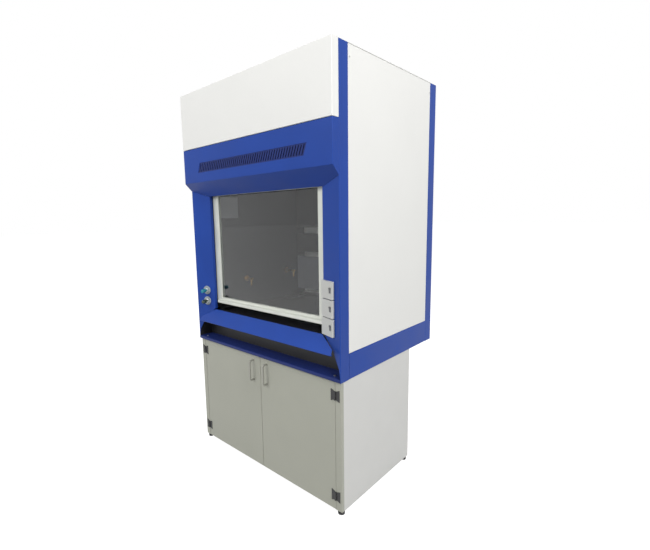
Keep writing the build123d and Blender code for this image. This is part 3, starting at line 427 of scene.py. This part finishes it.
plateLook = {"x": 0.5105, "heights": (1.166, 1.073, 0.980), "out": 0.012, "screwX": 0.038, "screwZ": 0.036,
             "screwRadius": 0.0028, "screwHeight": 0.0009}
spots = []
for height in plateLook["heights"]:
    middle, normal = onBevel(plateLook["x"], height, plateLook["out"])
    across = Vector((0, 0, 1)).cross(normal)
    for side in (-1, 1):
        for rise in (-1, 1):
            corner = across * plateLook["screwX"] * side + Vector((0, 0, rise * plateLook["screwZ"]))
            spots.append((middle + corner, normal))
screwRow("plate_screws", spots, plateLook["screwRadius"], plateLook["screwHeight"], steel)
print("plate screws made")


# Sash cables: the bend stays on its pulley, the legs are straight wires with sockets on the sash and the
# weights

cableLook = {"x": 0.498, "run": 0.042, "y": -0.353, "axle": 2.200, "hanger": 1.590, "eye": 2.132,
             "radius": 0.002, "bendSteps": 24, "legSteps": 40}
socketLook = {"bore": 0.0021, "outer": 0.0042, "neck": 0.003, "foot": -0.004, "edge": 0.012, "top": 0.016}


def strand(points, radius):  # a smooth wire along points
    curve = bpy.data.curves.new("strand", "CURVE")
    curve.dimensions = "3D"
    curve.bevel_depth = radius
    curve.bevel_resolution = 3
    spline = curve.splines.new("POLY")
    spline.points.add(len(points) - 1)
    for point, place in zip(spline.points, points):
        point.co = (*place, 1)
    curve.use_fill_caps = True
    holder = bpy.data.objects.new("strand", curve)
    mesh = bpy.data.meshes.new_from_object(holder)
    bpy.data.objects.remove(holder)
    bm = bmesh.new()
    bm.from_mesh(mesh)
    bpy.data.meshes.remove(mesh)
    bmesh.ops.remove_doubles(bm, verts=bm.verts, dist=1e-6)
    bmesh.ops.recalc_face_normals(bm, faces=bm.faces)
    return bm


for side, hand in (("left", -1), ("right", 1)):
    inner, outer = hand * (cableLook["x"] - cableLook["run"]), hand * (cableLook["x"] + cableLook["run"])
    y, axle = cableLook["y"], cableLook["axle"]
    bend = []
    for step in range(cableLook["bendSteps"] + 1):
        angle = math.pi * step / cableLook["bendSteps"]
        bend.append((hand * (cableLook["x"] - cableLook["run"] * math.cos(angle)), y,
                     axle + cableLook["run"] * math.sin(angle)))
    piece(f"cable_{side}_bend", strand(bend, cableLook["radius"]), steel,
          stands=[f"sash_cable_{side}"])
    for part, x, foot, moving in (("inner", inner, cableLook["hanger"], "sash"),
                                  ("outer", outer, cableLook["eye"], f"weight_{side}")):
        heights = [foot + (axle - foot) * step / cableLook["legSteps"]
                   for step in range(cableLook["legSteps"] + 1)]
        leg = strand([(x, y, height) for height in heights], cableLook["radius"])
        made = piece(f"cable_{side}_{part}", leg, steel, body=None, stands=[f"sash_cable_{side}"])
        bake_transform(made)
        bore, rim, top = socketLook["bore"], socketLook["outer"], socketLook["top"]
        socket = turned([(bore, socketLook["foot"]), (rim, socketLook["foot"]), (rim, socketLook["edge"]),
                         (socketLook["neck"], top), (bore, top), (bore, socketLook["foot"])], 16)
        piece(f"cable_{side}_{part}_socket", placed(socket, Matrix.Translation((x, y, foot))), steel,
              moving)
print("cables made")


# Camera, light and floor

view = {"place": (1.7299, -1.9438, 1.5171), "yaw": -43.898, "pitch": -8.0, "roll": -1.348, "lens": 22.376,
        "shiftX": 0.0492, "shiftY": -0.0009, "sensor": 36}
cameraData = bpy.data.cameras.new("camera")
cameraData.lens = view["lens"]
cameraData.sensor_width = view["sensor"]
cameraData.shift_x = view["shiftX"]
cameraData.shift_y = view["shiftY"]
camera = bpy.data.objects.new("camera", cameraData)
camera.matrix_world = (Matrix.Translation(view["place"])
                       @ Matrix.Rotation(math.radians(-view["yaw"]), 4, "Z")
                       @ Matrix.Rotation(math.radians(90 + view["pitch"]), 4, "X")
                       @ Matrix.Rotation(math.radians(view["roll"]), 4, "Z"))
scene.collection.objects.link(camera)
scene.camera = camera

lamps = {
    "keyLight": {"place": (4.6, -1.2, 4.2), "aim": (0.4, 0.0, 1.4), "size": 3.2, "power": 230},
    "fillLight": {"place": (-0.6, -5.0, 4.4), "aim": (0, -0.3, 1.3), "size": 3.2, "power": 190},
    "backLight": {"place": (-3.6, 3.8, 4.0), "aim": (0, 0.2, 1.3), "size": 3.2, "power": 150},
}
for name, lamp in lamps.items():
    lampData = bpy.data.lights.new(name, "AREA")
    lampData.shape = "SQUARE"
    lampData.size = lamp["size"]
    lampData.energy = lamp["power"]
    lampObject = bpy.data.objects.new(name, lampData)
    towards = Vector(lamp["aim"]) - Vector(lamp["place"])
    aimed = towards.to_track_quat("-Z", "Y").to_matrix().to_4x4()
    lampObject.matrix_world = Matrix.Translation(lamp["place"]) @ aimed
    scene.collection.objects.link(lampObject)


def seenBy(tree, rays):  # one where any of these rays looks, else nought
    path = tree.nodes.new("ShaderNodeLightPath")
    seen = path.outputs[rays[0]]
    for ray in rays[1:]:
        either = tree.nodes.new("ShaderNodeMath")
        either.operation = "MAXIMUM"
        tree.links.new(seen, either.inputs[0])
        tree.links.new(path.outputs[ray], either.inputs[1])
        seen = either.outputs["Value"]
    return seen


def stretched(tree, source, low, high):
    node = tree.nodes.new("ShaderNodeMapRange")
    node.inputs["To Min"].default_value = low
    node.inputs["To Max"].default_value = high
    tree.links.new(source, node.inputs["Value"])
    return node.outputs["Result"]


worldLook = {"seen": 1.0, "ambient": 0.30}
world = bpy.data.worlds.new("studio")
scene.world = world
world.use_nodes = True
tree = world.node_tree
background = tree.nodes["Background"]
background.inputs["Color"].default_value = (1, 1, 1, 1)
seen = seenBy(tree, ["Is Camera Ray", "Is Glossy Ray", "Is Transmission Ray"])
strength = stretched(tree, seen, worldLook["ambient"], worldLook["seen"])
tree.links.new(strength, background.inputs["Strength"])

floorLook = {"color": (0.35, 0.35, 0.35), "size": 60, "lift": 0.90, "rough": 0.9, "drop": 0.0005}
floorMesh = bmesh.new()
bmesh.ops.create_grid(floorMesh, x_segments=1, y_segments=1, size=floorLook["size"])
floorData = bpy.data.meshes.new("floor")
floorMesh.to_mesh(floorData)
floorMesh.free()
floor = bpy.data.objects.new("floor", floorData)
floor.location = (0, 0, -floorLook["drop"])
scene.collection.objects.link(floor)
floorMaterial, tree, shader = blank("studio floor")
shader.inputs["Base Color"].default_value = (*floorLook["color"], 1)
shader.inputs["Roughness"].default_value = floorLook["rough"]
shader.inputs["Emission Color"].default_value = (1, 1, 1, 1)
seen = seenBy(tree, ["Is Camera Ray", "Is Glossy Ray", "Is Transmission Ray"])
tree.links.new(stretched(tree, seen, 0, floorLook["lift"]), shader.inputs["Emission Strength"])
floorData.materials.append(floorMaterial)

scene.view_settings.view_transform = "Standard"
print("camera, lamps and floor set")
